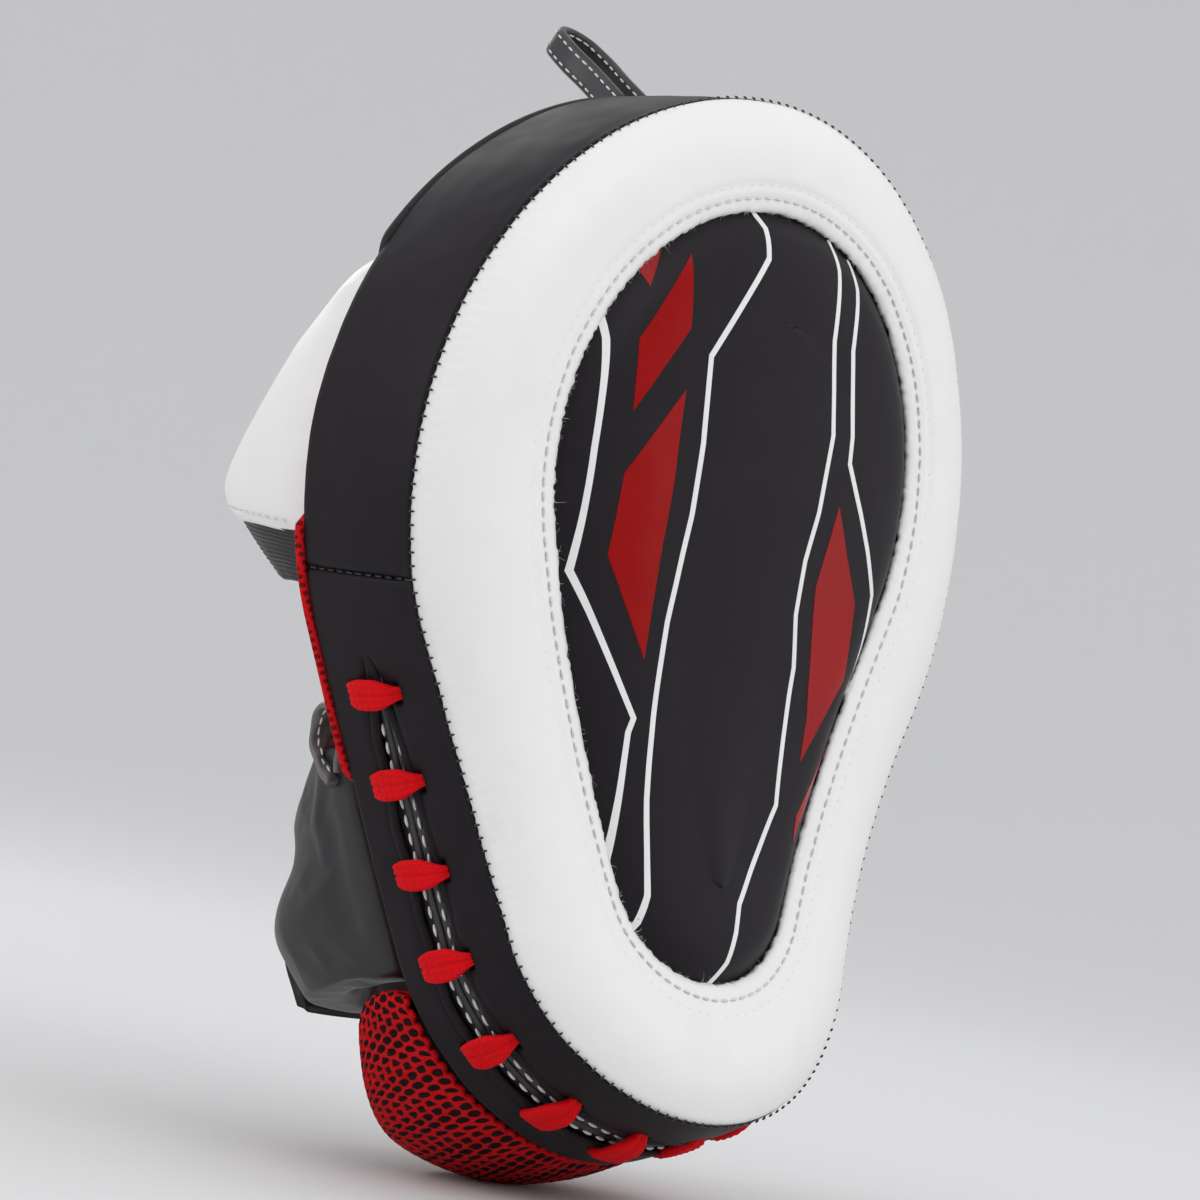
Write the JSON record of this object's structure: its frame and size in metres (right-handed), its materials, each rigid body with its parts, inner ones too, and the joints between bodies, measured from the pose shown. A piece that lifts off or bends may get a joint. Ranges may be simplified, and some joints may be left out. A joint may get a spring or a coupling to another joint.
{
  "type": "curved focus mitt",
  "caption": "Curved padded striking mitt for one hand: domed target panel in a wide cushioned ring, laced side wall, padded hand hood, heel pad, wrist cuff with strap, hanging loop.",
  "frame": {"origin": "middle of the palm side of the pad, on its surface, where the palm rests", "axes": "+Y out of the palm side, towards the back of the hand, with the striking face towards -Y; +Z along the fingers, from the wrist to the hanging loop; +X completes the right-handed frame, to the left when the hood is looked at with the fingers up"},
  "size_m": [0.196, 0.1307, 0.2801],
  "materials": {
    "ring_cover": "satin",
    "panel_cover": "satin",
    "black_cover": "satin",
    "grey_cover": "satin",
    "hood_cover": "satin",
    "foam": "matte",
    "lace": "matte",
    "palm_mesh": "matte",
    "heel_mesh": "matte",
    "lining": "matte",
    "elastic": "matte",
    "fastener": "matte",
    "loop_leather": "satin"
  },
  "bodies": {
    "pad": {"striking_ring": "ring_cover", "target_panel": "panel_cover", "target_foam": "foam", "core_foam_front": "foam", "core_foam_middle": "foam", "core_foam_back": "foam", "gusset_upper": "black_cover", "gusset_lower": "black_cover", "slit_facing_front": "black_cover", "slit_facing_back": "black_cover", "lace": "lace", "back_panel": "palm_mesh", "crown_panel": "grey_cover", "heel_foam": "foam", "heel_mesh": "heel_mesh", "hood_shell": "hood_cover", "hood_padding": "foam", "hood_lining": "lining", "hand_elastic": "elastic"},
    "cuff": {"cuff_cover": "black_cover", "cuff_foam": "foam", "cuff_tab": "black_cover", "loop_patch": "fastener"},
    "strap": {"wrist_strap": "black_cover", "hook_patch": "fastener"},
    "loop": {"hanging_loop": "loop_leather"}
  },
  "joints": [
    {"name": "strap_hinge", "type": "hinge", "parent": "pad", "child": "strap", "pos_m": [0.07317, 0.00245, -0.04034], "axis": [-0.3248, -0.2372, -0.9156], "range_deg": [0, 100]},
    {"name": "cuff_hinge", "type": "hinge", "parent": "pad", "child": "cuff", "pos_m": [-0.07399, 0.00283, -0.03833], "axis": [-0.3262, 0.2374, 0.915], "range_deg": [0, 44]},
    {"name": "loop_hinge", "type": "hinge", "parent": "pad", "child": "loop", "pos_m": [-0.014, 0.00091, 0.1269], "axis": [1, 0, 0], "range_deg": [0, 52], "stiffness_Nm_per_rad": 0.02}
  ],
  "couplings": [
    {"joint": "cuff_hinge", "follows": "strap_hinge", "ratio": 0.4}
  ]
}
